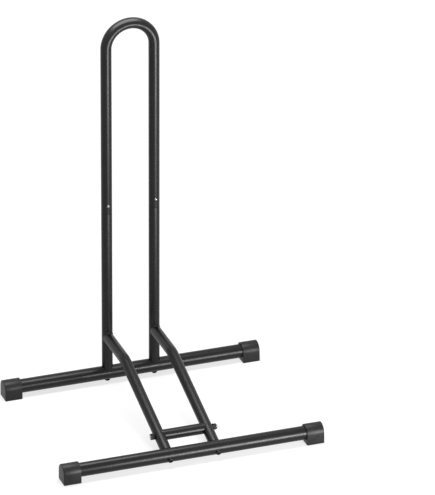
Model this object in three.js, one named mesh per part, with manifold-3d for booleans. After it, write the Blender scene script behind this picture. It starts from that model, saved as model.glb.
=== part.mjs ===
// Floor bike rack. Two base tubes lie on plastic foot caps. The rear one carries two
// posts and a tall hoop that holds the wheel upright. Two bent arms run from the posts
// down to the front base tube, and a crossbar between them keeps the wheel from rolling.
// Millimetres, +Z up, base tubes along X, hoop at +Y, origin on the floor at the middle.
import * as THREE from 'three';
import { mergeVertices, toCreasedNormals } from 'three/addons/utils/BufferGeometryUtils.js';
import Module from 'manifold-3d';

const wasm = await Module();
wasm.setup();

// ---------------------------------------------------------------- driving dimensions
const OVERALL_LENGTH = 490; // over the foot caps
const BASE_HALF_SPAN = 168.6; // from the middle to each base tube's axis
const BASE_AXIS_Z = 18.85; // base tube's axis above the floor
const BASE_R = 12.7; // 25.4 mm tube
const FRAME_R = 10; // 20 mm tube: posts, hoop, arms and crossbar
const WALL = 1.5; // every tube's wall
const POST_HALF_SPACING = 45.15; // the wheel passes between the posts
const HOOP_TOP_Z = 719;

const SEAM_Z = 342.7; // where the hoop's ends sit on the posts' shoulders
const SHOULDER_EDGE = 0.8; // bevel round the shoulder
const SPIGOT_R = 8.3; // post's necked-down end, inside the hoop
const SPIGOT_TOP_Z = 400;
const SPIGOT_LEAD = [0.7, 2]; // taper at its top, inwards and down
const NECK_INSIDE = [2, 6]; // where its bore widens again, below the seam
const SNAP_Z = 358.9; // snap buttons, on the front side

const ARM_Z = 93.1; // axis of the arm's level first run
const ARM_BEND_Y = 69; // where the arm's two axes cross
const ARM_BEND_R = 60; // centre-line radius of that bend
const WELD_LEG = 2.4; // fillet weld between arm and post, above and below
const WELD_LEG_SIDE = 0.25; // where the tubes run into each other there is hardly any
const WELD_CROWN = 0.42; // height of its middle, as a share of the leg
const WELD_TOE = [0.8, 0.6]; // reach along the arm, and its growth with the leg
const CROSSBAR_REACH = 48.1; // crossbar's axis behind the front tube's, measured level

const CAP_LENGTH = 32.4;
const CAP_HALF_WIDTH = 16.3; // at the floor
const CAP_ARCH_R = 15.9; // round top, about the tube's axis
const CAP_CORNER_R = 1.5; // along the sole's edges
const CAP_END_WALL = 5;
const CAP_EDGE_R = 1.2; // round the outer end
const CAP_LEAD = 0.4; // bevel round the mouth

const GAP = 0.3; // between pieces that touch
const FACET_GAP = 0.1; // more of it where a tube's flats come nearer than its points
const SEAT = 0.15; // under heads, washers and nuts
const BOLT_R = 3; // M6
const BOLT_HOLE_R = 3.4;
const HEAD_R = 5.25; // button head
const HEAD_FLAT_R = 2.9;
const HEAD_HEIGHT = 3.3;
const HEAD_RIM = 0.5;
const HEX_KEY = 4; // across the flats of the head's socket
const HEX_KEY_DEPTH = 2;
const BOLT_TIP = 0.8;
const BOLT_BITE = 16; // how far a bolt reaches past the tube wall
const PLUG_LENGTH = 20; // threaded plug in a tube's end
const PLUG_START = 1; // from the base tube to the plug
const PLUG_CLEAR = 0.2; // round the plug
const PLUG_BEVEL = 0.6;
const NUT_FLATS = 10;
const NUT_HEIGHT = 5;
const NUT_BEVEL = 0.5;
const NUT_BORE_R = 3.2;
const WASHER_R = 6;
const WASHER_HEIGHT = 1.6;
const ROD_OUT_LEFT = 1.6; // rod showing past each nut
const ROD_OUT_RIGHT = 3.2;

const BUTTON_R = 3;
const BUTTON_HOLE_R = 3.5;
const BUTTON_OUT = 2.2; // dome past the hoop's surface
const BUTTON_FLANGE_R = 3.9;
const BUTTON_FLANGE = [4.6, 5.4]; // inner and outer face from the post's axis
const SPRING_WIDTH = 5;
const SPRING_THICK = 0.5;
const SPRING_FOLD_R = 2.6;
const SPRING_HEIGHT = 24; // fold above the button
const SPRING_BEND = 5; // above the button, where the front leg leaves it
const SPRING_DROP = 6; // both legs' ends below the button
const SPRING_BACK = 5.8; // back leg behind the post's axis
const SPRING_CLEAR = 0.1; // between the front leg and the button

const BASE_SEGMENTS = 32;
const FRAME_SEGMENTS = 28;
const ROUND_SEGMENTS = 20; // fasteners
const NUT_SEGMENTS = 24; // four for each side, so that they line up with the corners
const HOLE_SEGMENTS = 16;
const HOOP_STEPS = 22;
const BEND_STEPS = 4;
const ARCH_STEPS = 16;
const EDGE_STEPS = 3; // quarter turns
const FOLD_STEPS = 6;
const CREASE = Math.PI / 7; // sharper edges stay sharp
const SAME_POINT = 1e-4;
const CUT_PAST = 2; // how far a cutter reaches past what it cuts

// ------------------------------------------------------------------------- materials
function finish(color, roughness, metalness) {
  return new THREE.MeshStandardMaterial({ color, roughness, metalness });
}

const paint = finish(0x1c1d1f, 0.38, 0.2);
const capPlastic = finish(0x19191a, 0.72, 0);
const blackSteel = finish(0x141416, 0.42, 0.7);
const zinc = finish(0xb8babd, 0.34, 1);
const springSteel = finish(0x8e9093, 0.3, 1);

// ----------------------------------------------------------------------- solid tools
const X = new THREE.Vector3(1, 0, 0);
const Y = new THREE.Vector3(0, 1, 0);
const Z = new THREE.Vector3(0, 0, 1);
const SIDES = [['left', -1], ['right', 1]];
const at = (x, y, z) => new THREE.Vector3(x, y, z);
const origin = at(0, 0, 0);
const along = (point, way, distance) => point.clone().addScaledVector(way, distance);

// A closed three.js geometry becomes a solid that can be cut and joined.
function solid(geometry) {
  const bare = geometry.clone();
  bare.deleteAttribute('normal');
  bare.deleteAttribute('uv');
  const merged = mergeVertices(bare, SAME_POINT);
  const index = merged.index.array;
  const triangles = [];
  for (let i = 0; i < index.length; i += 3) {
    const [a, b, c] = [index[i], index[i + 1], index[i + 2]];
    if (a !== b && b !== c && c !== a) triangles.push(a, b, c);
  }
  return new wasm.Manifold(new wasm.Mesh({
    numProp: 3,
    vertProperties: new Float32Array(merged.attributes.position.array),
    triVerts: new Uint32Array(triangles),
  }));
}

// A finished solid becomes a geometry whose round faces shade smoothly.
function shape(body) {
  const mesh = body.getMesh();
  const geometry = new THREE.BufferGeometry();
  geometry.setAttribute('position', new THREE.BufferAttribute(new Float32Array(mesh.vertProperties), 3));
  geometry.setIndex(new THREE.BufferAttribute(new Uint32Array(mesh.triVerts), 1));
  return toCreasedNormals(geometry, CREASE);
}

// Joins rings of points into one surface. Each ring turns right-handed about the way on.
// A closed loft runs back to its first ring, so it goes out along the outside of a pipe
// and home along its bore.
function loft(rings, closed = false) {
  const count = rings[0].length;
  const index = [];
  const turns = closed ? rings.length : rings.length - 1;
  for (let i = 0; i < turns; i += 1) {
    const here = i * count;
    const next = ((i + 1) % rings.length) * count;
    for (let j = 0; j < count; j += 1) {
      const k = (j + 1) % count;
      index.push(here + j, here + k, next + k, here + j, next + k, next + j);
    }
  }
  if (!closed) {
    const last = (rings.length - 1) * count;
    for (let j = 1; j < count - 1; j += 1) {
      index.push(0, j + 1, j);
      index.push(last, last + j, last + j + 1);
    }
  }
  const geometry = new THREE.BufferGeometry().setFromPoints(rings.flat());
  geometry.setIndex(index);
  return solid(geometry);
}

// One ring round a station { point, way }. side is square to way. radius may be a
// function of the turn. slide moves each point along the way, as a coped end needs: it
// gets the point's offset across side and its offset along side.
function ring({ point, way }, side, radius, segments, slide = () => 0) {
  const across = side.clone().cross(way);
  return Array.from({ length: segments }, (_, j) => {
    const turn = (j / segments) * 2 * Math.PI;
    const r = typeof radius === 'function' ? radius(turn) : radius;
    const a = r * Math.cos(turn);
    const b = r * Math.sin(turn);
    return point.clone()
      .addScaledVector(across, a)
      .addScaledVector(side, b)
      .addScaledVector(way, slide(a, b));
  });
}

function pipe(path, side, radius, segments, { start, end } = {}) {
  const slides = path.map(() => undefined);
  slides[0] = start;
  slides[slides.length - 1] = end;
  const skin = (r) => path.map((station, i) => ring(station, side, r, segments, slides[i]));
  return [...skin(radius), ...skin(radius - WALL).reverse()];
}

function rod(from, to, radius, segments) {
  const way = to.clone().sub(from).normalize();
  const side = Math.abs(way.x) > 0.5 ? Y : X;
  const ends = [{ point: from, way }, { point: to, way }];
  return loft(ends.map((station) => ring(station, side, radius, segments)));
}

// A turned piece: profile points are [radius, height] up the local Z axis.
function turned(profile, segments) {
  const lathe = new THREE.LatheGeometry(profile.map(([r, h]) => new THREE.Vector2(r, h)), segments);
  return solid(lathe.rotateX(Math.PI / 2));
}

function hexPrism(flats, low, high) {
  const corner = flats / Math.sqrt(3);
  const prism = new THREE.CylinderGeometry(corner, corner, high - low, 6);
  return solid(prism.rotateX(Math.PI / 2).translate(0, 0, (low + high) / 2));
}

function quarterTurn(point) {
  return Array.from({ length: EDGE_STEPS + 1 }, (_, i) => point((i / EDGE_STEPS) * (Math.PI / 2)));
}

// What a drill takes away that starts behind centre and ends ahead of it along way.
function drill(centre, way, back, ahead, radius) {
  return rod(along(centre, way, -back), along(centre, way, ahead), radius, HOLE_SEGMENTS);
}

// ------------------------------------------------------------------------- base tubes
// boltWay points from the tube's axis to the piece that the bolts hold.
function baseTube(boltWay) {
  const half = OVERALL_LENGTH / 2 - CAP_END_WALL - GAP;
  const path = [{ point: at(-half, 0, 0), way: X }, { point: at(half, 0, 0), way: X }];
  let tube = loft(pipe(path, Y, BASE_R, BASE_SEGMENTS), true);
  for (const [, sign] of SIDES) {
    const centre = at(sign * POST_HALF_SPACING, 0, 0);
    const reach = BASE_R + CUT_PAST;
    tube = tube.subtract(drill(centre, boltWay, reach, reach, BOLT_HOLE_R));
  }
  return shape(tube);
}

// Moulded foot: flat sole, upright sides, round top. The tube enters at x = 0.
function capSection(x, inset) {
  const half = CAP_HALF_WIDTH - inset;
  const arch = CAP_ARCH_R - inset;
  const corner = (sign) => (turn) => [
    sign * (half - CAP_CORNER_R + CAP_CORNER_R * Math.sin(turn)),
    inset + CAP_CORNER_R * (1 - Math.cos(turn)),
  ];
  const points = quarterTurn(corner(1));
  for (let i = 0; i <= ARCH_STEPS; i += 1) {
    const turn = (i / ARCH_STEPS) * Math.PI;
    points.push([arch * Math.cos(turn), BASE_AXIS_Z + arch * Math.sin(turn)]);
  }
  points.push(...quarterTurn(corner(-1)).reverse());
  return points.map(([y, z]) => at(x, y, z));
}

function footCap() {
  const rings = [capSection(0, CAP_LEAD), capSection(CAP_LEAD, 0)];
  rings.push(...quarterTurn((turn) => capSection(
    CAP_LENGTH - CAP_EDGE_R * (1 - Math.sin(turn)),
    CAP_EDGE_R * (1 - Math.cos(turn)),
  )));
  const mouth = at(-CUT_PAST, 0, BASE_AXIS_Z);
  const blindEnd = at(CAP_LENGTH - CAP_END_WALL, 0, BASE_AXIS_Z);
  return shape(loft(rings).subtract(rod(mouth, blindEnd, BASE_R + GAP, BASE_SEGMENTS)));
}

// ------------------------------------------------------------------- posts and hoop
// The post's foot is coped to straddle the base tube. Its top is necked down to a spigot
// that carries the hoop. Local origin: the post's axis at the floor.
function post() {
  const bore = FRAME_R - WALL;
  const neck = SPIGOT_R - WALL;
  const shoulder = SEAM_Z - GAP;
  const [leadIn, leadDown] = SPIGOT_LEAD;
  const [neckTop, neckBottom] = NECK_INSIDE;
  const saddle = (across) => Math.sqrt((BASE_R + GAP) ** 2 - across ** 2);
  const level = (r, z) => ring({ point: at(0, 0, z), way: Z }, X, r, FRAME_SEGMENTS);
  const foot = (r) => ring({ point: at(0, 0, BASE_AXIS_Z), way: Z }, X, r, FRAME_SEGMENTS, saddle);
  const tube = loft([
    foot(FRAME_R),
    level(FRAME_R, shoulder - SHOULDER_EDGE),
    level(FRAME_R - SHOULDER_EDGE, shoulder),
    level(SPIGOT_R, shoulder),
    level(SPIGOT_R, SPIGOT_TOP_Z - leadDown),
    level(SPIGOT_R - leadIn, SPIGOT_TOP_Z),
    level(neck, SPIGOT_TOP_Z),
    level(neck, SEAM_Z - neckTop),
    level(bore, SEAM_Z - neckBottom),
    foot(bore),
  ], true);
  return shape(tube.subtract(drill(at(0, 0, SNAP_Z), Y, FRAME_R, 0, BUTTON_HOLE_R)));
}

function hoop() {
  const bendZ = HOOP_TOP_Z - FRAME_R - POST_HALF_SPACING;
  const path = [{ point: at(-POST_HALF_SPACING, 0, SEAM_Z), way: Z }];
  for (let i = 0; i <= HOOP_STEPS; i += 1) {
    const turn = Math.PI * (1 - i / HOOP_STEPS);
    const out = at(Math.cos(turn), 0, Math.sin(turn));
    const way = at(Math.sin(turn), 0, -Math.cos(turn));
    path.push({ point: along(at(0, 0, bendZ), out, POST_HALF_SPACING), way });
  }
  path.push({ point: at(POST_HALF_SPACING, 0, SEAM_Z), way: Z.clone().negate() });
  let tube = loft(pipe(path, Y, FRAME_R, FRAME_SEGMENTS), true);
  for (const [, sign] of SIDES) {
    const centre = at(sign * POST_HALF_SPACING, 0, SNAP_Z);
    tube = tube.subtract(drill(centre, Y, FRAME_R + CUT_PAST, 0, BUTTON_HOLE_R));
  }
  return shape(tube);
}

// Steel plug, tapped for the bolt, fixed in a tube's end. Local Z runs into the tube.
function threadedPlug() {
  const outer = FRAME_R - WALL - PLUG_CLEAR;
  return shape(turned([
    [BOLT_HOLE_R, 0],
    [outer - PLUG_BEVEL, 0],
    [outer, PLUG_BEVEL],
    [outer, PLUG_LENGTH - PLUG_BEVEL],
    [outer - PLUG_BEVEL, PLUG_LENGTH],
    [BOLT_HOLE_R, PLUG_LENGTH],
    [BOLT_HOLE_R, 0],
  ], ROUND_SEGMENTS));
}

// ------------------------------------------------------------------------------ arms
// The arm leaves the post level, bends once and slopes down to the front base tube. It
// is drawn in its own upright plane.
const frontAxis = at(0, -BASE_HALF_SPAN, BASE_AXIS_Z);
const bendPoint = at(0, ARM_BEND_Y, ARM_Z);
const levelWay = Y.clone().negate();
const slopeWay = frontAxis.clone().sub(bendPoint).normalize();
const slopeAngle = levelWay.angleTo(slopeWay);
const crossbarPoint = along(frontAxis, slopeWay, CROSSBAR_REACH / slopeWay.y);

function armBend() {
  const tangent = ARM_BEND_R * Math.tan(slopeAngle / 2);
  const centre = along(along(bendPoint, levelWay, -tangent), Z, -ARM_BEND_R);
  return Array.from({ length: BEND_STEPS + 1 }, (_, i) => {
    const turn = (i / BEND_STEPS) * slopeAngle;
    const out = at(0, -Math.sin(turn), Math.cos(turn));
    const way = at(0, -Math.cos(turn), -Math.sin(turn));
    return { point: along(centre, out, ARM_BEND_R), way };
  });
}

// Both ends are coped. The rear one straddles the post and carries its fillet weld, which
// thins out at the two sides, where the equal tubes run into each other.
function arm() {
  const postR = FRAME_R + GAP + FACET_GAP;
  const rear = { point: at(0, BASE_HALF_SPAN, ARM_Z), way: levelWay };
  const onPost = (across, sideways) => Math.sqrt(Math.max(postR ** 2 - sideways ** 2, 0));
  const onBase = (across) => -Math.sqrt((BASE_R + GAP) ** 2 - across ** 2);
  const leg = (turn) => {
    const full = WELD_LEG_SIDE + WELD_LEG * Math.abs(Math.cos(turn));
    const widest = postR - FACET_GAP / 2;
    const room = widest / Math.max(Math.abs(Math.sin(turn)), SAME_POINT) - FRAME_R;
    return Math.min(full, room);
  };
  const toe = (across, sideways) => {
    const turn = Math.atan2(sideways, across);
    const [least, growth] = WELD_TOE;
    return onPost(0, FRAME_R * Math.sin(turn)) + least + growth * leg(turn);
  };
  const crown = (across, sideways) => {
    const turn = Math.atan2(sideways, across);
    return (onPost(0, FRAME_R * Math.sin(turn)) + toe(across, sideways)) / 2;
  };
  const rearRing = (radius, slide) => ring(rear, X, radius, FRAME_SEGMENTS, slide);
  const weld = [
    rearRing(FRAME_R, onPost),
    rearRing((turn) => FRAME_R + leg(turn), onPost),
    rearRing((turn) => FRAME_R + WELD_CROWN * leg(turn), crown),
  ];
  const path = [rear, ...armBend(), { point: frontAxis, way: slopeWay }];
  const tube = pipe(path, X, FRAME_R, FRAME_SEGMENTS, { start: toe, end: onBase });
  tube[tube.length - 1] = rearRing(FRAME_R - WALL, onPost);
  const reach = FRAME_R + CUT_PAST;
  const hole = drill(crossbarPoint, X, reach, reach, BOLT_HOLE_R);
  return shape(loft([...weld, ...tube], true).subtract(hole));
}

// -------------------------------------------------------------------------- crossbar
// Its ends are coped to the arms, and one long rod clamps it between them.
function crossbar() {
  const path = SIDES.map(([, sign]) => ({ point: at(sign * POST_HALF_SPACING, 0, 0), way: X }));
  const onArm = (across) => Math.sqrt((FRAME_R + GAP) ** 2 - across ** 2);
  const ends = { start: onArm, end: (across) => -onArm(across) };
  return shape(loft(pipe(path, slopeWay, FRAME_R, FRAME_SEGMENTS, ends), true));
}

const washerFace = FRAME_R + SEAT; // from the arm's axis out
const nutFace = washerFace + WASHER_HEIGHT + SEAT;
const nutEnd = nutFace + NUT_HEIGHT;

function crossbarRod() {
  const left = -(POST_HALF_SPACING + nutEnd + ROD_OUT_LEFT);
  const right = POST_HALF_SPACING + nutEnd + ROD_OUT_RIGHT;
  return shape(turned([
    [0, left],
    [BOLT_R - BOLT_TIP, left],
    [BOLT_R, left + BOLT_TIP],
    [BOLT_R, right - BOLT_TIP],
    [BOLT_R - BOLT_TIP, right],
    [0, right],
  ], ROUND_SEGMENTS));
}

function washer() {
  return shape(turned([
    [BOLT_HOLE_R, 0],
    [WASHER_R, 0],
    [WASHER_R, WASHER_HEIGHT],
    [BOLT_HOLE_R, WASHER_HEIGHT],
    [BOLT_HOLE_R, 0],
  ], ROUND_SEGMENTS));
}

// Hexagon whose corners are turned down to the flats at both faces. The turned shape
// stands a little outside the corners, so that it cuts nothing between the bevels.
function nut() {
  const outside = NUT_FLATS / Math.sqrt(3) + FACET_GAP;
  const envelope = turned([
    [0, 0],
    [NUT_FLATS / 2, 0],
    [outside, NUT_BEVEL],
    [outside, NUT_HEIGHT - NUT_BEVEL],
    [NUT_FLATS / 2, NUT_HEIGHT],
    [0, NUT_HEIGHT],
  ], NUT_SEGMENTS);
  const bore = drill(origin, Z, CUT_PAST, NUT_HEIGHT + CUT_PAST, NUT_BORE_R);
  return shape(hexPrism(NUT_FLATS, 0, NUT_HEIGHT).intersect(envelope).subtract(bore));
}

// Button-head bolt. Local origin: the base tube's axis. The shank points up local Z.
function bolt() {
  const under = -BASE_R - SEAT;
  const crown = under - HEAD_HEIGHT;
  const top = BASE_R + GAP + BOLT_BITE;
  const dome = quarterTurn((turn) => [
    HEAD_FLAT_R + (HEAD_R - HEAD_FLAT_R) * Math.sin(turn),
    under - HEAD_RIM - (HEAD_HEIGHT - HEAD_RIM) * Math.cos(turn),
  ]);
  const body = turned([
    [0, crown],
    ...dome,
    [HEAD_R, under],
    [BOLT_R, under],
    [BOLT_R, top - BOLT_TIP],
    [BOLT_R - BOLT_TIP, top],
    [0, top],
  ], ROUND_SEGMENTS);
  return shape(body.subtract(hexPrism(HEX_KEY, crown - CUT_PAST, crown + HEX_KEY_DEPTH)));
}

// ----------------------------------------------------------------------- snap buttons
// A domed steel button stands through the spigot and the hoop. A strip bent to a V
// inside the spigot pushes it out. Local origin: the post's axis at the button's height.
function snapButton() {
  const [flangeIn, flangeOut] = BUTTON_FLANGE;
  const dome = quarterTurn((turn) => [
    BUTTON_R * Math.cos(turn),
    FRAME_R + BUTTON_OUT * Math.sin(turn),
  ]);
  return shape(turned([
    [0, flangeIn],
    [BUTTON_FLANGE_R, flangeIn],
    [BUTTON_FLANGE_R, flangeOut],
    [BUTTON_R, flangeOut],
    ...dome,
  ], ROUND_SEGMENTS));
}

function snapSpring() {
  const front = SPRING_CLEAR - BUTTON_FLANGE[0];
  const inside = SPRING_FOLD_R - SPRING_THICK;
  const strip = new THREE.Shape();
  strip.moveTo(front, -SPRING_DROP);
  strip.lineTo(front, SPRING_BEND);
  strip.lineTo(-SPRING_FOLD_R, SPRING_HEIGHT);
  strip.absarc(0, SPRING_HEIGHT, SPRING_FOLD_R, Math.PI, 0, true);
  strip.lineTo(SPRING_BACK, -SPRING_DROP);
  strip.lineTo(SPRING_BACK - SPRING_THICK, -SPRING_DROP);
  strip.lineTo(inside, SPRING_HEIGHT);
  strip.absarc(0, SPRING_HEIGHT, inside, 0, Math.PI, false);
  strip.lineTo(front + SPRING_THICK, SPRING_BEND);
  strip.lineTo(front + SPRING_THICK, -SPRING_DROP);
  const settings = { depth: SPRING_WIDTH, bevelEnabled: false, curveSegments: FOLD_STEPS };
  const geometry = new THREE.ExtrudeGeometry(strip, settings);
  geometry.translate(0, 0, -SPRING_WIDTH / 2);
  return shape(solid(geometry.applyMatrix4(new THREE.Matrix4().makeBasis(Y, Z, X))));
}

// -------------------------------------------------------------------------- assembly
function place(parent, name, geometry, material, position = origin) {
  const mesh = new THREE.Mesh(geometry, material);
  mesh.name = name;
  mesh.position.copy(position);
  parent.add(mesh);
  return mesh;
}

// One copy on each side, reach from the middle.
function placePair(parent, name, geometry, material, position, reach = POST_HALF_SPACING) {
  return SIDES.map(([side, sign]) => (
    place(parent, `${name}_${side}`, geometry, material, along(position, X, sign * reach))
  ));
}

const rack = new THREE.Group();
const tubeAxis = at(0, 0, BASE_AXIS_Z);
const plugStart = BASE_R + GAP + PLUG_START;

const rear = new THREE.Group();
rear.position.y = BASE_HALF_SPAN;
const front = new THREE.Group();
front.position.y = -BASE_HALF_SPAN;
rack.add(rear, front);

place(rear, 'rear_base_tube', baseTube(Z), paint, tubeAxis);
place(front, 'front_base_tube', baseTube(slopeWay), paint, tubeAxis);

const cap = footCap();
for (const [end, group] of [['rear', rear], ['front', front]]) {
  const reach = OVERALL_LENGTH / 2 - CAP_LENGTH;
  const [left] = placePair(group, `${end}_foot_cap`, cap, capPlastic, origin, reach);
  left.rotation.z = Math.PI;
}

placePair(rear, 'post', post(), paint, origin);
place(rear, 'wheel_hoop', hoop(), paint);
placePair(rear, 'post_plug', threadedPlug(), zinc, along(tubeAxis, Z, plugStart));
placePair(rear, 'rear_bolt', bolt(), blackSteel, tubeAxis);
for (const button of placePair(rear, 'snap_button', snapButton(), zinc, at(0, 0, SNAP_Z))) {
  button.rotation.x = Math.PI / 2;
}
placePair(rear, 'snap_spring', snapSpring(), springSteel, at(0, 0, SNAP_Z));

placePair(rack, 'arm', arm(), paint, origin);

// Local Z of this group runs up the arms' slope from the front tube's axis.
const slope = new THREE.Group();
slope.position.copy(frontAxis);
slope.rotation.x = slopeAngle - Math.PI / 2;
rack.add(slope);
placePair(slope, 'arm_plug', threadedPlug(), zinc, at(0, 0, plugStart));
placePair(slope, 'front_bolt', bolt(), blackSteel, origin);

place(rack, 'crossbar', crossbar(), paint, crossbarPoint);
place(rack, 'crossbar_rod', crossbarRod(), zinc, crossbarPoint).rotation.y = Math.PI / 2;
for (const [name, geometry, face] of [
  ['crossbar_washer', washer(), washerFace],
  ['crossbar_nut', nut(), nutFace],
]) {
  const reach = POST_HALF_SPACING + face;
  const [left, right] = placePair(rack, name, geometry, blackSteel, crossbarPoint, reach);
  left.rotation.y = -Math.PI / 2;
  right.rotation.y = Math.PI / 2;
}

export default rack;
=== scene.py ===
# %% [markdown]
# # Floor bike rack
# The rack is a welded and bolted tube frame: two base tubes on plastic feet, two posts with
# a tall hoop, two bent arms and a crossbar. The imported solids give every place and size.
# This file loads them as a fixed frame and then builds each visible piece again, finer,
# round the same axes, so that edges, threads, welds and paint can be seen close up.

import math

import bpy
import numpy as np
from mathutils import Matrix, Vector


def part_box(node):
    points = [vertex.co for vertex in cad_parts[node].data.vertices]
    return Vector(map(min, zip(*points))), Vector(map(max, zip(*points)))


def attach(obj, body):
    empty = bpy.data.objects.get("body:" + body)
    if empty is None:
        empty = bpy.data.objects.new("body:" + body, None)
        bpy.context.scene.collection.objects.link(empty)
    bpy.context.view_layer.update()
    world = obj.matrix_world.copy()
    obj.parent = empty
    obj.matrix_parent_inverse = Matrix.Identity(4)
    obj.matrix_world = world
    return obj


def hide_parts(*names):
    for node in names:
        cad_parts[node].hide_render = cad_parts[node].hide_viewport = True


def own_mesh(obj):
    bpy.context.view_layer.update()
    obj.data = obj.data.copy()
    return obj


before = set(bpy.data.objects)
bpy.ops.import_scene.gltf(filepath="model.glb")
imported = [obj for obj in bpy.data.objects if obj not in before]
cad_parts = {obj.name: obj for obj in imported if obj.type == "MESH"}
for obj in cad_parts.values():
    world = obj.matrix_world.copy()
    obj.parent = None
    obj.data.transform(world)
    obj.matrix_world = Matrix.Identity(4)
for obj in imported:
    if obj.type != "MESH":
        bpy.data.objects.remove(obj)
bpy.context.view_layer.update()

# %% [markdown]
# ## Camera
# The rack is seen from the left front and from above through a very long lens, so its
# posts look parallel and its two base tubes keep nearly the same scale. Such a camera stands
# ten metres away. It looks past the rack, at a point to the right, so that the rack stands
# left of the middle. Turning the camera does this without any lens shift, which keeps every
# other view of the model centred.

# %% Camera
scene = bpy.context.scene
FRAME_PIXELS = (435, 495)
FOCAL_PIXELS = 5936
SENSOR_MM = 36
AZIMUTH = math.radians(-19.16)
ELEVATION = math.radians(26.25)
DISTANCE = 10.533
LOOKED_AT = Vector((0, 0.0006, 0.368))
LOOKED_AT_PIXEL = (161.0, 235.1)
CLIP_NEAR, CLIP_FAR = 0.5, 200

back = Vector((
    math.sin(AZIMUTH) * math.cos(ELEVATION),
    -math.cos(AZIMUTH) * math.cos(ELEVATION),
    math.sin(ELEVATION),
))
right = Vector((math.cos(AZIMUTH), math.sin(AZIMUTH), 0))
up = back.cross(right)
aside = FRAME_PIXELS[0] / 2 - LOOKED_AT_PIXEL[0]
below = FRAME_PIXELS[1] / 2 - LOOKED_AT_PIXEL[1]
turned_back = (back * FOCAL_PIXELS - right * aside + up * below).normalized()
turned_right = (right - turned_back * right.dot(turned_back)).normalized()
turned_up = turned_back.cross(turned_right)

camera_data = bpy.data.cameras.new("camera")
camera_data.sensor_width = SENSOR_MM
camera_data.lens = FOCAL_PIXELS / max(FRAME_PIXELS) * SENSOR_MM
camera_data.clip_start, camera_data.clip_end = CLIP_NEAR, CLIP_FAR
camera = bpy.data.objects.new("camera", camera_data)
scene.collection.objects.link(camera)
turn = Matrix((turned_right, turned_up, turned_back)).transposed().to_4x4()
camera.matrix_world = Matrix.Translation(LOOKED_AT + back * DISTANCE) @ turn
scene.camera = camera
print("lens", round(camera_data.lens, 1), "mm, camera at", [round(v, 3) for v in camera.location])

# %% [markdown]
# ## Tools for round pieces
# Almost everything here is round: a tube, a bolt head, a nut. One method makes them all. A
# ring of points is set round an axis, rings follow each other along it, and quads are
# skinned between them. A hollow piece goes out along its outside and home along its bore.
# A ring may have a radius that changes with the turn, which gives hexagons and threads, and
# its points may slide along the axis, which gives the saddle cut of a tube that meets
# another tube. Sizes are in millimetres, as on a drawing, and become metres in the mesh.

# %% Rings and lofts
MM = 0.001
X, Y, Z = np.eye(3)
SMOOTH_BELOW = math.radians(32)


def unit(vector):
    return np.array(vector, float) / np.linalg.norm(vector)


def ring(point, way, side, radius, count, slide=None):
    """Points round an axis through point. slide moves each along the axis by its offsets."""
    turn = np.arange(count) / count * 2 * np.pi
    reach = radius(turn) if callable(radius) else np.full(count, float(radius))
    across, along_side = reach * np.cos(turn), reach * np.sin(turn)
    moved = slide(across, along_side) if slide else np.zeros(count)
    return (
        np.array(point, float)
        + np.outer(across, np.cross(side, way))
        + np.outer(along_side, side)
        + np.outer(moved, way)
    )


def loft(name, rings, closed=False):
    """A mesh skinned over a row of rings. An open row gets a flat lid at each end."""
    rings = np.array(rings)
    rows, count = rings.shape[:2]
    index = np.arange(rows * count).reshape(rows, count)
    here = index if closed else index[:-1]
    beyond = np.roll(index, -1, axis=0) if closed else index[1:]
    corners = [here, np.roll(here, -1, 1), np.roll(beyond, -1, 1), beyond]
    faces = np.stack(corners, -1).reshape(-1, 4).tolist()
    if not closed:
        faces += [index[0, ::-1].tolist(), index[-1].tolist()]
    mesh = bpy.data.meshes.new(name)
    mesh.from_pydata(rings.reshape(-1, 3) * MM, [], faces)
    piece = bpy.data.objects.new(name, mesh)
    scene.collection.objects.link(piece)
    return smooth(piece)


def smooth(piece):
    """Round faces shade smoothly, and edges sharper than SMOOTH_BELOW stay crisp."""
    piece.data.shade_smooth()
    piece.data.set_sharp_from_angle(angle=SMOOTH_BELOW)
    return piece


def turned(name, profile, base, way, side, count, closed=False):
    """A piece turned on a lathe: profile holds pairs of radius and height above base."""
    rings = [ring(base + way * height, way, side, radius, count) for radius, height in profile]
    return loft(name, rings, closed)


def quarter(steps):
    """Sine and cosine from 0 to 90 degrees, for round edges."""
    angles = np.linspace(0, np.pi / 2, steps + 1)
    return list(zip(np.sin(angles), np.cos(angles)))


print("tools ready, edges under", round(math.degrees(SMOOTH_BELOW)), "degrees are smooth")

# %% [markdown]
# ## Tubes and holes
# The frame is cut from round steel tube in two stock sizes. A tube is two skins, one at the
# outside and one in the bore, and its cut edge is eased a little, as a saw cut is before
# painting. Holes are drilled with a Boolean, because a hole through a round wall has an
# edge that no ring follows. The Boolean is applied at once and the drill thrown away.

# %% Pipe and drill
BASE_R = 12.7
FRAME_R = 10.0
WALL = 1.5
GAP = 0.3
EASE = 0.25
TUBE_COUNT = 72
HOLE_COUNT = 48


def pipe(name, path, side, radius, cope=(None, None)):
    """A tube along path, a list of pairs of point and way. cope slides its two cut ends."""
    def skin(reach, ease):
        (first, first_way), (last, last_way) = path[0], path[-1]
        inset = abs(ease)
        rows = [
            ring(first, first_way, side, reach - ease, TUBE_COUNT, cope[0]),
            ring(first + first_way * inset, first_way, side, reach, TUBE_COUNT, cope[0]),
        ]
        rows += [ring(point, way, side, reach, TUBE_COUNT) for point, way in path[1:-1]]
        rows += [
            ring(last - last_way * inset, last_way, side, reach, TUBE_COUNT, cope[1]),
            ring(last, last_way, side, reach - ease, TUBE_COUNT, cope[1]),
        ]
        return rows

    return loft(name, skin(radius, EASE) + skin(radius - WALL, -EASE)[::-1], closed=True)


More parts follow.
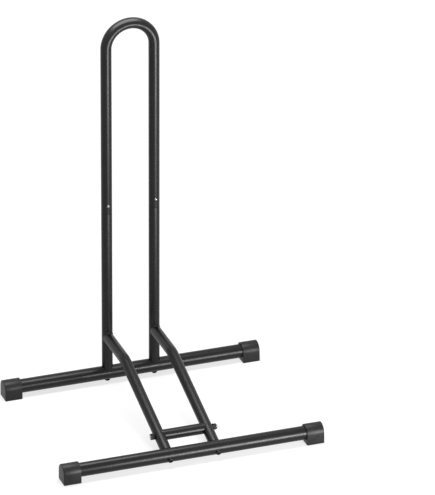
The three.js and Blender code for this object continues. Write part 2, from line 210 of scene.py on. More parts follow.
def drill(piece, start, end, radius):
    """Cut a round hole from start to end."""
    way = unit(end - start)
    side = Y if abs(way[0]) > abs(way[1]) else X
    cutter = loft("drill", [ring(point, way, side, radius, HOLE_COUNT) for point in (start, end)])
    cut = piece.modifiers.new("hole", "BOOLEAN")
    cut.operation, cut.solver, cut.object = "DIFFERENCE", "EXACT", cutter
    seen = piece.evaluated_get(bpy.context.evaluated_depsgraph_get())
    whole = piece.data
    piece.data = bpy.data.meshes.new_from_object(seen)
    piece.data.name = whole.name
    piece.modifiers.clear()
    bpy.data.objects.remove(cutter)
    return smooth(piece)


print("tubes of", 2 * BASE_R, "and", 2 * FRAME_R, "mm, wall", WALL)

# %% [markdown]
# ## Finishes
# Every finish gets its detail from nodes that read the object's own coordinates in metres,
# so the grain has the same size on every piece and stays in place when a piece moves.
# Small helpers add a noise, spread it over a range of values, make a tint of it or raise
# the surface by it.

# %% Node helpers
def finish(name, color, roughness, metallic=0.0, specular=0.5):
    """A new material with its shader's plain values set."""
    material = bpy.data.materials.new(name)
    material.use_nodes = True
    shader = material.node_tree.nodes["Principled BSDF"]
    shader.inputs["Base Color"].default_value = (*color, 1)
    shader.inputs["Roughness"].default_value = roughness
    shader.inputs["Metallic"].default_value = metallic
    shader.inputs["Specular IOR Level"].default_value = specular
    return material, shader


def noise(material, grain_mm, detail, stretch=(1, 1, 1)):
    """A noise whose lumps are about grain_mm across, drawn out along stretch."""
    tree = material.node_tree
    place = tree.nodes.new("ShaderNodeTexCoord")
    scale = tree.nodes.new("ShaderNodeMapping")
    scale.inputs["Scale"].default_value = [1 / (grain_mm * MM * s) for s in stretch]
    texture = tree.nodes.new("ShaderNodeTexNoise")
    texture.inputs["Scale"].default_value = 1
    texture.inputs["Detail"].default_value = detail
    tree.links.new(place.outputs["Object"], scale.inputs["Vector"])
    tree.links.new(scale.outputs["Vector"], texture.inputs["Vector"])
    return texture.outputs["Fac"]


def spread(material, value, low, high, start=0.3, stop=0.7):
    """Map start and stop to low and high. A noise mostly lies between 0.3 and 0.7."""
    tree = material.node_tree
    node = tree.nodes.new("ShaderNodeMapRange")
    for socket, number in zip(
        ("From Min", "From Max", "To Min", "To Max"), (start, stop, low, high)
    ):
        node.inputs[socket].default_value = number
    tree.links.new(value, node.inputs["Value"])
    return node.outputs["Result"]


def tint(material, value, dark, light, start=0.35, stop=0.65):
    """A colour that runs from dark to light with a noise."""
    tree = material.node_tree
    ramp = tree.nodes.new("ShaderNodeValToRGB")
    for element, place, color in zip(ramp.color_ramp.elements, (start, stop), (dark, light)):
        element.position, element.color = place, (*color, 1)
    tree.links.new(value, ramp.inputs["Fac"])
    return ramp.outputs["Color"]


def bump(material, value, depth_mm, normal=None):
    """Raise the surface by a noise, depth_mm from its lowest to its highest."""
    tree = material.node_tree
    node = tree.nodes.new("ShaderNodeBump")
    node.inputs["Distance"].default_value = depth_mm * MM
    tree.links.new(value, node.inputs["Height"])
    if normal is not None:
        tree.links.new(normal, node.inputs["Normal"])
    return node.outputs["Normal"]


def plug_in(material, shader, **sockets):
    """Link outputs to the shader's sockets. Base_Color stands for Base Color."""
    for name, output in sockets.items():
        material.node_tree.links.new(output, shader.inputs[name.replace("_", " ")])


print("node helpers ready")

# %% [markdown]
# ### Black powder coat
# Powder paint is sprayed on dry and melted in an oven. It comes out as a thick semi-gloss
# skin with a faint orange peel: shallow waves two or three millimetres across, which make
# the long highlights on a tube slightly uneven. The black varies a little where the coat
# is thicker, and the gloss is broken by fine rub marks.

# %% Powder coat
powder, shader = finish("powder_coat_black", (0.005, 0.005, 0.0054), 0.32, specular=0.23)
cloud = noise(powder, grain_mm=26, detail=3)
peel = noise(powder, grain_mm=3.2, detail=1)
mist = noise(powder, grain_mm=0.5, detail=2)
rub = noise(powder, grain_mm=1.3, detail=4, stretch=(9, 9, 5))
coat = bump(powder, peel, depth_mm=0.004)
plug_in(
    powder, shader,
    Base_Color=tint(powder, cloud, (0.0040, 0.0040, 0.0043), (0.0060, 0.0060, 0.0065)),
    Roughness=spread(powder, rub, 0.29, 0.35),
    Normal=bump(powder, mist, depth_mm=0.0012, normal=coat),
)
print(powder.name, "with", len(powder.node_tree.nodes), "nodes")

# %% [markdown]
# ### Moulded plastic of the feet
# The feet are soft black polyethylene. The mould is spark-eroded, so the surface has a
# fine even grain that scatters light: it is duller than the paint and looks a shade
# greyer. A second, wider noise stands for the flow of the plastic and for handling.

# %% Cap plastic
plastic, shader = finish("foot_plastic_black", (0.007, 0.007, 0.0073), 0.44, specular=0.26)
grain = noise(plastic, grain_mm=0.45, detail=2)
flow = noise(plastic, grain_mm=9, detail=3)
plug_in(
    plastic, shader,
    Base_Color=tint(plastic, flow, (0.0055, 0.0055, 0.0058), (0.0085, 0.0085, 0.0088)),
    Roughness=spread(plastic, flow, 0.40, 0.48),
    Normal=bump(plastic, grain, depth_mm=0.012),
)
print(plastic.name, "with", len(plastic.node_tree.nodes), "nodes")

# %% [markdown]
# ### Blackened, plated and spring steel
# The bolts, nuts and washers are black oxide steel: still a metal, but dark, with a thin
# oily sheen that varies over a few millimetres. The stud and the threaded plugs are bright
# zinc, with a slight milkiness. The snap buttons' metal gets a darker colour than their
# bright plating, as painted shade for the dark surroundings a bright dome mirrors, so that
# only the tip of each dome shines. The springs behind them have the drawn grain of strip steel.

# %% Metals
oxide, shader = finish("black_oxide", (0.012, 0.012, 0.0125), 0.36, metallic=0.5, specular=0.3)
sheen = noise(oxide, grain_mm=2.5, detail=3)
smear = noise(oxide, grain_mm=0.8, detail=2)
etch = noise(oxide, grain_mm=0.35, detail=2)
plug_in(
    oxide, shader,
    Base_Color=tint(oxide, sheen, (0.007, 0.007, 0.0075), (0.018, 0.0175, 0.017)),
    Roughness=spread(oxide, smear, 0.30, 0.48),
    Normal=bump(oxide, etch, depth_mm=0.01),
)

zinc, shader = finish("bright_zinc", (0.62, 0.63, 0.64), 0.26, metallic=1.0)
milk = noise(zinc, grain_mm=3, detail=3)
frost = noise(zinc, grain_mm=0.7, detail=3)
crystals = noise(zinc, grain_mm=0.4, detail=2)
plug_in(
    zinc, shader,
    Base_Color=tint(zinc, milk, (0.55, 0.56, 0.58), (0.69, 0.69, 0.68)),
    Roughness=spread(zinc, frost, 0.2, 0.34),
    Normal=bump(zinc, crystals, depth_mm=0.006),
)

# The buttons' base colour is painted shade: darker than bright plating, it stands in for the dark
# surroundings that a bright dome would mirror.
nickel, shader = finish("nickel_painted_shade", (0.2, 0.2, 0.205), 0.22, metallic=1.0)
shade = noise(nickel, grain_mm=1.5, detail=3)
wear = noise(nickel, grain_mm=0.4, detail=3)
plug_in(
    nickel, shader,
    Base_Color=tint(nickel, shade, (0.16, 0.16, 0.165), (0.24, 0.24, 0.245)),
    Roughness=spread(nickel, wear, 0.19, 0.25),
)

strip, shader = finish("spring_strip", (0.5, 0.51, 0.52), 0.3, metallic=1.0)
drawn = noise(strip, grain_mm=0.3, detail=3, stretch=(1, 1, 30))
plug_in(
    strip, shader,
    Base_Color=tint(strip, drawn, (0.42, 0.43, 0.45), (0.56, 0.56, 0.57)),
    Roughness=spread(strip, drawn, 0.22, 0.4),
)
print("metals:", oxide.name, zinc.name, nickel.name, strip.name)

# %% [markdown]
# ### Putting a piece in place
# Each new piece is built where the solid it stands for is. It gets its finish, takes the
# solid's place in the picture, and moves with the body that carries it.

# %% Settle a piece
def settle(piece, node, material, body="rack"):
    """Finish the piece, let it stand for its CAD node and make it ride on its body."""
    piece.data.materials.clear()
    piece.data.materials.append(material)
    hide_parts(node)
    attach(piece, body)
    low, high = (np.array(corner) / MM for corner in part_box(node))
    points = np.array([v.co for v in piece.data.vertices]) / MM
    apart = max(abs(points.min(0) - low).max(), abs(points.max(0) - high).max())
    print(f"{piece.name}: {len(piece.data.polygons)} faces, {apart:.2f} mm from {node}")


# %% [markdown]
# ## Base tubes
# The two base tubes are plain lengths of 25.4 mm tube. Bolts pass right through each of
# them: upwards into the posts at the back, and up the slope of the arms at the front. The
# extra stations on either side of a hole keep the drilled faces short, so that the rest of
# the tube shades cleanly.

# %% Base tubes
BASE_Y = 168.6
BASE_Z = 18.85
BASE_HALF = 239.7
POST_X = 45.15
ARM_Z = 93.1
ARM_BEND_Y = 69.0
BOLT_HOLE_R = 3.4
BOLT_DRILL_REACH = 16
HOLE_MARGIN = 9
REAR = np.array((0, BASE_Y, BASE_Z))
FRONT = np.array((0, -BASE_Y, BASE_Z))
BEND = np.array((0, ARM_BEND_Y, ARM_Z))
SLOPE = unit(FRONT - BEND)
SIDES = (("left", -1), ("right", 1))


def base_tube(name, axis, bolt_way):
    """One base tube with a hole right through it below each post or arm."""
    reaches = [-BASE_HALF]
    for sign in (-1, 1):
        reaches += [sign * POST_X - HOLE_MARGIN, sign * POST_X + HOLE_MARGIN]
    path = [(axis + X * reach, X) for reach in reaches + [BASE_HALF]]
    tube = pipe(name, path, Y, BASE_R)
    for sign in (-1, 1):
        centre = axis + X * sign * POST_X
        through = bolt_way * BOLT_DRILL_REACH
        drill(tube, centre - through, centre + through, BOLT_HOLE_R)
    return tube


settle(base_tube("rear_tube", REAR, Z), "rear_base_tube", powder)
settle(base_tube("front_tube", FRONT, -SLOPE), "front_base_tube", powder)

# %% [markdown]
# ## Feet
# A foot is a plastic cap pushed over the tube's end. Its top follows the tube, its sides
# drop straight to a flat sole, with a degree of draft so that it leaves the mould, and all
# edges are softly rounded. The outline is one ring of points, shrunk and moved back step by
# step to round the outer end. The bore uses the same number of points at the same angles,
# so one loft makes the outside, the mouth and the blind hole.

# %% Feet
CAP_END = 245.0
CAP_LENGTH = 32.4
CAP_HALF_WIDTH = 16.3
CAP_ARCH_R = 15.9
CAP_CORNER_R = 1.5
CAP_EDGE_R = 1.2
CAP_LEAD = 0.4
CAP_LEAD_KNEE = 0.3
CAP_END_WALL = 5.0
CORNER_STEPS = 5
EDGE_STEPS = 6
ARCH_STEPS = 40


def cap_outline(inset):
    """The cap's section as y and z about the tube's axis, from the sole round the top."""
    half, arch = CAP_HALF_WIDTH - inset, CAP_ARCH_R - inset
    centre = half - CAP_CORNER_R
    sole = inset - BASE_Z
    corner = [(centre + CAP_CORNER_R * s, sole + CAP_CORNER_R * (1 - c))
              for s, c in quarter(CORNER_STEPS)]
    top = [(arch * math.cos(angle), arch * math.sin(angle))
           for angle in np.linspace(0, np.pi, ARCH_STEPS + 1)]
    return np.array(corner + top + [(-y, z) for y, z in corner[::-1]])


def foot(name, axis, sign):
    """One cap. sign is -1 for the tube's left end and 1 for its right end."""
    def section(reach, outline):
        points = [axis + X * sign * reach + Y * sign * y + Z * z for y, z in outline]
        return np.array(points)

    mouth = CAP_END - CAP_LENGTH
    knee = CAP_LEAD * CAP_LEAD_KNEE
    outline = cap_outline(0)
    bore = (BASE_R + GAP) * outline / np.linalg.norm(outline, axis=1)[:, None]
    rows = [
        section(CAP_END - CAP_END_WALL, bore),
        section(mouth + CAP_LEAD, bore),
        section(mouth, bore * (1 + CAP_LEAD / BASE_R)),
        section(mouth, cap_outline(CAP_LEAD)),
        section(mouth + knee, cap_outline(knee)),
        section(mouth + CAP_LEAD, outline),
    ]
    for s, c in quarter(EDGE_STEPS):
        rows.append(section(CAP_END - CAP_EDGE_R * (1 - s), cap_outline(CAP_EDGE_R * (1 - c))))
    return loft(name, rows)


for end, axis in (("rear", REAR), ("front", FRONT)):
    for side, sign in SIDES:
        cap = foot(f"{end}_{side}_foot", axis, sign)
        settle(cap, f"{end}_foot_cap_{side}", plastic)

# %% [markdown]
# ## Posts
# Each post stands astride the rear base tube: its foot is cut to a saddle. At mid height
# the tube is rolled down to a thinner spigot, over which the hoop slides, and the rolled
# shoulder carries the hoop's weight. The shoulder's round edge catches the light as a short
# bright mark, so it gets several rings.

# %% Posts
SEAM_Z = 342.7
SHOULDER_R = 1.0
SHOULDER_STEPS = 6
SEAM_GAP = 0.05
SPIGOT_R = 8.3
SPIGOT_TOP = 400.0
SPIGOT_FILLET = (0.2, 0.4)
SPIGOT_LEAD = (0.6, 1.5)
NECK_INSIDE = (2, 6)
SNAP_Z = 358.9
SNAP_HOLE_R = 3.5


def saddle(radius, sign=1):
    """How a cut end slides to straddle a tube of that radius lying along side.

    sign is 1 where a tube starts and -1 where it ends.
    """
    return lambda across, along_side: sign * np.sqrt(radius ** 2 - across ** 2)


def post(name, x):
    """One post, from the saddle at its foot to the spigot inside the hoop."""
    foot_point = np.array((x, BASE_Y, BASE_Z))
    cope = saddle(BASE_R + GAP)
    shoulder = SEAM_Z - SEAM_GAP
    below_snap, above_snap = SNAP_Z - HOLE_MARGIN, SNAP_Z + HOLE_MARGIN
    fillet_out, fillet_up = SPIGOT_FILLET
    lead_in, lead_down = SPIGOT_LEAD
    neck_top, neck_bottom = NECK_INSIDE
    outside = [(FRAME_R - SHOULDER_R * (1 - c), shoulder - SHOULDER_R * (1 - s))
               for s, c in quarter(SHOULDER_STEPS)]
    outside += [(SPIGOT_R + fillet_out, shoulder), (SPIGOT_R, shoulder + fillet_up)]
    outside += [(SPIGOT_R, below_snap), (SPIGOT_R, above_snap)]
    outside += [(SPIGOT_R, SPIGOT_TOP - lead_down), (SPIGOT_R - lead_in, SPIGOT_TOP)]
    inside = [(SPIGOT_R - WALL, SPIGOT_TOP), (SPIGOT_R - WALL, above_snap)]
    inside += [(SPIGOT_R - WALL, below_snap), (SPIGOT_R - WALL, SEAM_Z - neck_top)]
    inside += [(FRAME_R - WALL, SEAM_Z - neck_bottom)]

    def level(radius, z):
        return ring((x, BASE_Y, z), Z, X, radius, TUBE_COUNT)

    def foot_ring(radius, rise):
        return ring(foot_point + Z * rise, Z, X, radius, TUBE_COUNT, cope)

    rows = [foot_ring(FRAME_R - EASE, 0), foot_ring(FRAME_R, EASE)]
    rows += [level(r, z) for r, z in outside + inside]
    rows += [foot_ring(FRAME_R - WALL, EASE), foot_ring(FRAME_R - WALL + EASE, 0)]
    tube = loft(name, rows, closed=True)
    centre = np.array((x, BASE_Y, SNAP_Z))
    return drill(tube, centre - Y * FRAME_R, centre, SNAP_HOLE_R)


for side, sign in SIDES:
    settle(post(f"{side}_post_tube", sign * POST_X), f"post_{side}", powder)

# %% [markdown]
# ## Hoop
# The hoop is one tube bent through a half circle on a mandrel, so its section stays round.
# Each leg ends in a square cut that rests on a post's shoulder. A curve object with a round
# bevel would also do, but the loft gives clean cut ends, a bore, and rings where the holes
# for the snap buttons come.

# %% Hoop
HOOP_TOP = 719.0
HOOP_STEPS = 72
SNAP_DRILL_REACH = 12


def hoop(name):
    """The hoop, up its left leg, round the bend and down its right leg."""
    bend_z = HOOP_TOP - FRAME_R - POST_X
    margins = [SNAP_Z - HOLE_MARGIN, SNAP_Z + HOLE_MARGIN]
    path = [((-POST_X, BASE_Y, z), Z) for z in [SEAM_Z] + margins]
    for angle in np.linspace(np.pi, 0, HOOP_STEPS + 1):
        out = np.array((math.cos(angle), 0, math.sin(angle)))
        way = np.array((math.sin(angle), 0, -math.cos(angle)))
        path.append(((0, BASE_Y, bend_z) + out * POST_X, way))
    path += [((POST_X, BASE_Y, z), -Z) for z in margins[::-1] + [SEAM_Z]]
    tube = pipe(name, [(np.array(point, float), way) for point, way in path], Y, FRAME_R)
    for sign in (-1, 1):
        centre = np.array((sign * POST_X, BASE_Y, SNAP_Z))
        drill(tube, centre - Y * SNAP_DRILL_REACH, centre, SNAP_HOLE_R)
    return tube


settle(hoop("hoop_tube"), "wheel_hoop", powder)

# %% [markdown]
# ## Arms and their welds
# An arm leaves its post level, bends once and slopes down to the front tube. The weld that
# joins it to the post is a small fillet all the way round, laid in overlapping puddles and
# painted over. It belongs to the arm's outside, so the same rings make it: they start on
# the post, climb over the rippled bead and come down on the arm. Where the two equal tubes
# run into each other, at the sides, there is hardly room for a bead and it thins out.

# %% Arms
ARM_BEND_R = 60.0
BEND_STEPS = 18
WELD_LEG = 2.4
WELD_LEAST = 0.25
WELD_MARGIN = 0.05
WELD_TOE = (0.8, 0.6)
WELD_HOLLOW = 1.1
WELD_RIPPLES = 26
RIPPLE = 0.11
RIPPLE_LEAN = 2.5
BEAD_STEPS = 6
ARM_COUNT = 156
ROD_DRILL_REACH = 15
TINY = 1e-9
CROSSBAR_REACH = 48.1
CROSSBAR = FRONT + SLOPE * (CROSSBAR_REACH / SLOPE[1])
FACET_GAP = 0.1
POST_CLEAR_R = FRAME_R + GAP + FACET_GAP


def on_post(sideways):
    """How far the post's skin stands before its axis, at a point that far to the side."""
    return np.sqrt(np.maximum(POST_CLEAR_R ** 2 - sideways ** 2, 0))


def weld_leg(turn):
    """How far the weld climbs the post at each turn, which the post's width limits."""
    full = WELD_LEAST + WELD_LEG * np.abs(np.cos(turn))
    sideways = np.maximum(np.abs(np.sin(turn)), TINY)
    room = (POST_CLEAR_R - WELD_MARGIN) / sideways - FRAME_R
    return np.minimum(full, room)


def bead_ring(point, share):
    """One ring of the weld, from share 0 on the post to share 1 on the arm."""
    turn = np.arange(ARM_COUNT) / ARM_COUNT * 2 * np.pi
    leg = weld_leg(turn)
    swell = math.sin(math.pi * share)
    lean = RIPPLE_LEAN * abs(share - 0.5)
    ripple = 1 + RIPPLE * swell * np.cos(WELD_RIPPLES * turn + lean)
    reach = FRAME_R + leg * (1 - share) ** WELD_HOLLOW * ripple
    shortest, growth = WELD_TOE
    length = shortest + growth * leg
    start = on_post(FRAME_R * np.sin(turn)) if share else on_post(reach * np.sin(turn))
    slide = start + length * share ** WELD_HOLLOW
    return ring(point, -Y, X, lambda turn: reach, ARM_COUNT, lambda across, along_side: slide)


def arm(name, x):
    """One arm with its weld, from the post round the bend to the front base tube."""
    here = X * x
    rear = here + (0, BASE_Y, ARM_Z)
    angle = math.acos(-SLOPE[1])
    tangent = ARM_BEND_R * math.tan(angle / 2)
    centre = here + BEND + Y * tangent - Z * ARM_BEND_R
    path = []
    for turn in np.linspace(0, angle, BEND_STEPS + 1):
        out = np.array((0, -math.sin(turn), math.cos(turn)))
        path.append((centre + out * ARM_BEND_R, np.array((0, -out[2], out[1]))))
    front = here + FRONT
    cope = saddle(BASE_R + GAP, -1)
    bore = FRAME_R - WALL
    cut = [(FRAME_R, EASE), (FRAME_R - EASE, 0), (bore + EASE, 0), (bore, EASE)]
    rows = [bead_ring(rear, share) for share in np.linspace(0, 1, BEAD_STEPS + 1)]
    rows += [ring(point, way, X, FRAME_R, ARM_COUNT) for point, way in path]
    for radius, short in cut:
        rows.append(ring(front - SLOPE * short, SLOPE, X, radius, ARM_COUNT, cope))
    rows += [ring(point, way, X, bore, ARM_COUNT) for point, way in path[::-1]]
    rows.append(ring(rear, -Y, X, bore, ARM_COUNT, lambda across, along_side: on_post(along_side)))
    tube = loft(name, rows, closed=True)
    middle = here + CROSSBAR
    through = X * ROD_DRILL_REACH
    return drill(tube, middle - through, middle + through, BOLT_HOLE_R)


for side, sign in SIDES:
    settle(arm(f"{side}_arm_tube", sign * POST_X), f"arm_{side}", powder)

# %% [markdown]
# ## Crossbar
# A short tube stands between the arms. Both its ends are cut to a saddle so that they sit
# round the arms, and a stud through all three clamps them together.

# %% Crossbar
def crossbar(name):
    """The bar between the arms, cut to a saddle at both ends."""
    path = [(CROSSBAR + X * sign * POST_X, X) for sign in (-1, 1)]
    cope = [saddle(FRAME_R + GAP, sign) for sign in (1, -1)]
    return pipe(name, path, SLOPE, FRAME_R, cope)


settle(crossbar("cross_tube"), "crossbar", powder)

# %% [markdown]
# ## Threads and hexagons
# A thread could be modelled as a wedge swept along a helix. It is simpler as a loft whose
# radius depends on both height and turn: each ring is cut a little further round than the
# one before, and the grooves join up as a helix by themselves. A hexagon is a ring as well,
# with a radius that grows towards the six corners.

# %% Thread and hexagon
THREAD_R = 3.0
PITCH = 1.0
THREAD_DEPTH = 0.58
THREAD_CREST = 0.12
THREAD_FLANK = 0.7
THREAD_STEP = 1 / 8
FINE_COUNT = 48


def thread_radius(height, reach=THREAD_R, depth=THREAD_DEPTH):
    """The radius round a thread at one height: flat crest, sloping sides, flat root."""
    def radius(turn):
        phase = (height / PITCH - turn / (2 * np.pi)) % 1
        wave = np.abs(2 * phase - 1)
        return reach - depth * np.clip((wave - THREAD_CREST) / THREAD_FLANK, 0, 1)
    return radius


def thread(start, stop):
    """Profile pairs for a thread between two heights."""
    steps = max(2, round((stop - start) / THREAD_STEP))
    return [(thread_radius(height), height) for height in np.linspace(start, stop, steps + 1)]


def hexagon(flats, limit=np.inf):
    """The radius round a hexagon of that width across its flats, turned down to limit."""
    def radius(turn):
        off = (turn - np.pi / 2 + np.pi / 6) % (np.pi / 3) - np.pi / 6
        edge = flats / 2 / np.cos(np.pi / 6 - np.abs(off))
        return np.minimum(edge, limit)
    return radius


print("thread M6 x", PITCH, "in", FINE_COUNT, "steps a turn")

# %% [markdown]
# ## Bolts
# Four button-head bolts hold the posts and the arms to the base tubes. The head is a low
# dome with a hexagon socket, and only the heads can be seen. The profile starts at the
# floor of the socket, climbs out of it, runs over the dome and ends at the tip.

# %% Bolts
HEAD_R = 5.25
HEAD_FLAT_R = 2.9
HEAD_HEIGHT = 3.3
HEAD_RIM = 0.5
HEAD_EDGE = 0.1
HEAD_FILLET = 0.25
HEAD_STEPS = 8
KEY = 4.0
KEY_DEPTH = 2.0
KEY_EDGE = (0.3, 0.2)
SEAT = 0.15
BITE = 16.0
RUN_OUT = 1
TIP = 0.8


def bolt(name, axis, way, x):
    """One bolt through a base tube, way being the direction it points in."""
    under = -BASE_R - SEAT
    crown = under - HEAD_HEIGHT
    tip = BASE_R + GAP + BITE
    wider, deep = KEY_EDGE
    profile = [(hexagon(KEY), crown + KEY_DEPTH), (hexagon(KEY), crown + deep)]
    profile += [(hexagon(KEY + wider), crown)]
    for s, c in quarter(HEAD_STEPS):
        profile.append((
            HEAD_FLAT_R + (HEAD_R - HEAD_FLAT_R) * s,
            under - HEAD_RIM - (HEAD_HEIGHT - HEAD_RIM) * c,
        ))
    profile += [(HEAD_R, under - HEAD_EDGE), (HEAD_R - HEAD_EDGE, under)]
    profile += [(THREAD_R + HEAD_FILLET, under), (THREAD_R, under + HEAD_FILLET)]
    profile += [(THREAD_R, BASE_R - RUN_OUT), *thread(BASE_R, tip - TIP), (THREAD_R - TIP, tip)]
    return turned(name, profile, axis + X * x, way, X, FINE_COUNT)


for side, sign in SIDES:
    made = bolt(f"rear_{side}_bolt", REAR, Z, sign * POST_X)
    settle(made, f"rear_bolt_{side}", oxide)
    made = bolt(f"front_{side}_bolt", FRONT, -SLOPE, sign * POST_X)
    settle(made, f"front_bolt_{side}", oxide)

# %% [markdown]
# ## Stud, washers and nuts
# The crossbar is clamped by one bright stud that is threaded at both ends. A washer is
# stamped, so one of its edges is rounder than the other. A nut is a hexagon whose corners
# are turned down to a cone at both faces, which leaves the well-known arcs on its flats.

# %% Stud, washers and nuts
WASHER_R = 6.0
WASHER_HEIGHT = 1.6
WASHER_EDGE = 0.15
WASHER_ROUND = 0.4
WASHER_STEPS = 4
HOLE_EDGE = 0.1
NUT_FLATS = 10.0
NUT_HEIGHT = 5.0
NUT_CHAMFER = 0.5
NUT_FACE_R = NUT_FLATS / 2 - 0.1
NUT_BORE_R = BOLT_HOLE_R - 0.2
NUT_MOUTH = 0.5
NUT_THREAD_DEPTH = 0.3
NUT_THREAD_TOP, NUT_THREAD_BOTTOM = 0.4, 0.3
CHAMFER_STEPS = 4
NUT_COUNT = 72
OUT_LEFT, OUT_RIGHT = 1.6, 3.2
SHANK_R = THREAD_R - 0.1
THREAD_START = 50.0
WASHER_FACE = POST_X + FRAME_R + SEAT
NUT_FACE = WASHER_FACE + WASHER_HEIGHT + SEAT
NUT_END = NUT_FACE + NUT_HEIGHT


def stud(name):
    """The rod through arms and crossbar, with a thread from each end."""
    left_end, right_end = -(NUT_END + OUT_LEFT), NUT_END + OUT_RIGHT
    profile = [(THREAD_R - TIP, left_end), *thread(left_end + TIP, -THREAD_START)]
    profile += [(SHANK_R, RUN_OUT - THREAD_START), (SHANK_R, THREAD_START - RUN_OUT)]
    profile += [*thread(THREAD_START, right_end - TIP), (THREAD_R - TIP, right_end)]
    return turned(name, profile, CROSSBAR, X, Y, FINE_COUNT)


def washer(name, sign):
    """One washer, its rounder edge towards the nut."""
    hole, top = BOLT_HOLE_R, WASHER_HEIGHT
    profile = [(hole, HOLE_EDGE), (hole + HOLE_EDGE, 0)]
    profile += [(WASHER_R - WASHER_EDGE, 0), (WASHER_R, WASHER_EDGE)]
    for s, c in quarter(WASHER_STEPS):
        profile.append((WASHER_R - WASHER_ROUND * (1 - c), top - WASHER_ROUND * (1 - s)))
    profile += [(hole + HOLE_EDGE, top), (hole, top - HOLE_EDGE)]
    base = CROSSBAR + X * sign * WASHER_FACE
    return turned(name, profile, base, X * sign, Y, FINE_COUNT, closed=True)


def nut(name, sign):
    """One nut: a hexagon with both faces turned down, and a thread in its bore."""
    rise = NUT_FLATS / math.sqrt(3) - NUT_FLATS / 2
    rows = []
    for share in np.linspace(0, 1, CHAMFER_STEPS + 1):
        rows.append((hexagon(NUT_FLATS, NUT_FACE_R + rise * share), NUT_CHAMFER * share))
    rows += [(radius, NUT_HEIGHT - height) for radius, height in rows[::-1]]
    profile = [(NUT_BORE_R + NUT_MOUTH, 0), *rows, (NUT_BORE_R + NUT_MOUTH, NUT_HEIGHT)]
    root = NUT_BORE_R + NUT_THREAD_DEPTH
    for height in np.arange(NUT_HEIGHT - NUT_THREAD_TOP, NUT_THREAD_BOTTOM, -THREAD_STEP):
        profile.append((thread_radius(height, root, NUT_THREAD_DEPTH), height))
    base = CROSSBAR + X * sign * NUT_FACE
    return turned(name, profile, base, X * sign, Y, NUT_COUNT, closed=True)


settle(stud("stud"), "crossbar_rod", zinc)
for side, sign in SIDES:
    settle(washer(f"{side}_washer", sign), f"crossbar_washer_{side}", oxide)
    settle(nut(f"{side}_nut", sign), f"crossbar_nut_{side}", oxide)

# %% [markdown]
# ## Snap buttons
# A domed metal button stands in a hole through hoop and spigot and locks the two
# together. It can be pushed in by a finger against a bent strip inside, so each button is
# its own moving piece. Its flange stays behind the wall.

# %% Snap buttons
BUTTON_R = 3.0
BUTTON_OUT = 2.2
BUTTON_TIP_R = 0.12
DOME_STEPS = 14
FLANGE_R = 3.9
FLANGE = (4.6, 5.4)
FLANGE_EDGE = 0.15


def button(name, x):
    """One button, turned from its flange out to the tip of its dome."""
    inner, outer = FLANGE
    profile = [(FLANGE_R - FLANGE_EDGE, inner), (FLANGE_R, inner + FLANGE_EDGE)]
    profile += [(FLANGE_R, outer - FLANGE_EDGE), (FLANGE_R - FLANGE_EDGE, outer)]
    profile += [(BUTTON_R, outer)]
    for s, c in quarter(DOME_STEPS):
        profile.append((max(BUTTON_R * c, BUTTON_TIP_R), FRAME_R + BUTTON_OUT * s))
    return turned(name, profile, np.array((x, BASE_Y, SNAP_Z)), -Y, X, FINE_COUNT)


for side, sign in SIDES:
    made = button(f"{side}_button", sign * POST_X)
    settle(made, f"snap_button_{side}", nickel, f"{side}_button")

# %% [markdown]
# ## Springs behind the buttons
# Each button is pushed out by a strip of spring steel, folded to a V inside the post: the
# front leg rests behind the button's flange and the back leg against the far wall. When
# the button goes in, the V closes. The strip is a loft like the rest, with a flat section
# that follows the middle line of the V.

# %% Springs
STRIP_WIDTH = 5.0
STRIP_THICKNESS = 0.5
STRIP_BEVEL = 0.1
FRONT_LEG_Y, BACK_LEG_Y = -4.25, 5.54
LEG_ENDS_Z = -5.96
FRONT_BEND_Z = 5.0
FOLD_R = 2.35
FOLD_Z = 24.0
FOLD_STEPS = 18


def spring_line():
    """The V's middle line as y and z about the post's axis at the button's height."""
    fold = [(-FOLD_R * math.cos(angle), FOLD_Z + FOLD_R * math.sin(angle))
            for angle in np.linspace(0, np.pi, FOLD_STEPS + 1)]
    front_leg = [(FRONT_LEG_Y, LEG_ENDS_Z), (FRONT_LEG_Y, FRONT_BEND_Z)]
    return front_leg + fold + [(BACK_LEG_Y, LEG_ENDS_Z)]


def strip_section():
    """The strip's bevelled section, as pairs of places across and through it."""
    half, flat = STRIP_WIDTH / 2, STRIP_THICKNESS / 2
    outline = [(half, STRIP_BEVEL - flat), (half, flat - STRIP_BEVEL), (half - STRIP_BEVEL, flat)]
    outline += [(-across, through) for across, through in outline[::-1]]
    return outline + [(STRIP_BEVEL - half, -flat), (half - STRIP_BEVEL, -flat)]


def spring(name, x):
    """One V spring, its section carried along its middle line."""
    line = np.array([(0, y, z) for y, z in spring_line()]) + (x, BASE_Y, SNAP_Z)
    rings = []
    for point, way in zip(line, np.gradient(line, axis=0)):
        normal = np.cross(unit(way), X)
        rings.append([point + X * across + normal * through for across, through in strip_section()])
    return loft(name, rings)


for side, sign in SIDES:
    x = sign * POST_X
    made = spring(f"{side}_spring", x)
    settle(made, f"snap_spring_{side}", strip)
    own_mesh(made)

# %% [markdown]
# ## Threaded plugs
# The plugs that the bolts screw into are shut inside the tubes. Their solids are right as
# they are, so they only get their finish.

# %% Plugs
for side, _ in SIDES:
    for node in (f"post_plug_{side}", f"arm_plug_{side}"):
        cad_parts[node].material_slots[0].material = zinc
        print(node, "is", zinc.name)

# %% [markdown]
# ## Floor and sky
# The rack stands on a plain white floor under a plain white sky. Both are white to the
# camera, and to mirror and glass rays as well, so that gloss shows the same surroundings.
# The floor still has to take the rack's soft shadow: part of its white is lit paint, and
# the rest is a glow that only those rays see. The lamps reach only the floor near the rack,
# so the glow grows with the distance and the white stays even.

# %% White to the camera
def number_node(tree, kind, operation, first, second=None):
    """Add a Math or Vector Math node and link its inputs."""
    node = tree.nodes.new(kind)
    node.operation = operation
    tree.links.new(first, node.inputs[0])
    if second is not None:
        tree.links.new(second, node.inputs[1])
    return node


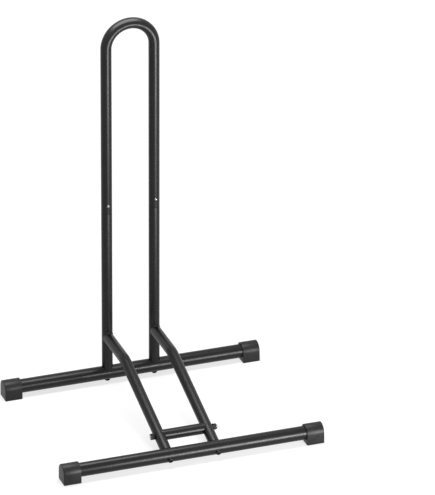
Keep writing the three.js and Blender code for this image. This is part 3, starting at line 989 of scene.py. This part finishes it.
def seen_directly(tree):
    """1 for camera, mirror and glass rays, 0 for all other light."""
    rays = tree.nodes.new("ShaderNodeLightPath").outputs
    total = rays["Is Camera Ray"]
    for other in ("Is Glossy Ray", "Is Transmission Ray"):
        total = number_node(tree, "ShaderNodeMath", "MAXIMUM", total, rays[other]).outputs[0]
    return total


print("white shows to camera, mirror and glass rays")

# %% [markdown]
# ### Floor
# The floor is one wide square of matt paint. The glow goes in at the shader's emission: it
# is worked out from the distance to the rack, and the rays above switch it on.

# %% Floor
FLOOR_SIZE = 80.0
FLOOR_PAINT = (0.4, 0.4, 0.4)
GLOW_NEAR, GLOW_FAR = 0.72, 0.95
GLOW_START, GLOW_STOP = 0.3, 1.5

floor_mesh = bpy.data.meshes.new("floor")
half = FLOOR_SIZE / 2
corners = [(-half, -half, 0), (half, -half, 0), (half, half, 0), (-half, half, 0)]
floor_mesh.from_pydata(corners, [], [(0, 1, 2, 3)])
floor = bpy.data.objects.new("floor", floor_mesh)
scene.collection.objects.link(floor)

paint, matt = finish("floor_white", FLOOR_PAINT, 1.0, specular=0.0)
tree = paint.node_tree
place = tree.nodes.new("ShaderNodeTexCoord").outputs["Object"]
distance = number_node(tree, "ShaderNodeVectorMath", "LENGTH", place).outputs["Value"]
level = spread(paint, distance, GLOW_NEAR, GLOW_FAR, GLOW_START, GLOW_STOP)
glow = number_node(tree, "ShaderNodeMath", "MULTIPLY", seen_directly(tree), level)
matt.inputs["Emission Color"].default_value = (1, 1, 1, 1)
plug_in(paint, matt, Emission_Strength=glow.outputs[0])
floor_mesh.materials.append(paint)
print("floor", FLOOR_SIZE, "m wide")

# %% [markdown]
# ### Sky
# A fully white sky would light the rack from all sides and flatten it. So the sky is dim as
# a light, and white only to the rays that see it.

# %% Sky
SKY = 0.15
world = bpy.data.worlds.new("sky")
scene.world = world
world.use_nodes = True
tree = world.node_tree
sky = tree.nodes["Background"]
strength = tree.nodes.new("ShaderNodeMapRange")
strength.inputs["To Min"].default_value = SKY
strength.inputs["To Max"].default_value = 1.0
tree.links.new(seen_directly(tree), strength.inputs["Value"])
tree.links.new(strength.outputs["Result"], sky.inputs["Strength"])
sky.inputs["Color"].default_value = (1, 1, 1, 1)
scene.view_settings.view_transform = "Standard"
print("sky", SKY)

# %% [markdown]
# ## Lamps
# Long tubes show a lamp as a streak along them, so the lamps are chosen by the streaks they
# draw. A low box stands upright before the rack, to its right: the base tubes mirror it on
# their front, and the posts on their right, where it fades downwards. A box overhead draws
# the second streak along the top of every level tube, and the broad one over the hoop.

# %% Soft boxes
def soft_box(name, centre, facing, size, radiance):
    """A rectangular lamp whose face looks along facing and is that many times white."""
    data = bpy.data.lights.new(name, "AREA")
    data.shape = "RECTANGLE"
    data.size, data.size_y = size
    data.energy = radiance * math.pi * size[0] * size[1]
    lamp = bpy.data.objects.new(name, data)
    lamp.location = centre
    lamp.rotation_euler = Vector(facing).to_track_quat("-Z", "Y").to_euler()
    lamp.visible_camera = False
    scene.collection.objects.link(lamp)
    print(name, round(data.energy, 1), "W")


soft_box(
    "key_box", centre=(0.45, -1.05, 0.15), facing=(0, 1, 0), size=(0.55, 0.29), radiance=35,
)
soft_box(
    "top_box", centre=(-0.04, 0.12, 1.1), facing=(0, 0, -1), size=(0.69, 0.42), radiance=12.5,
)
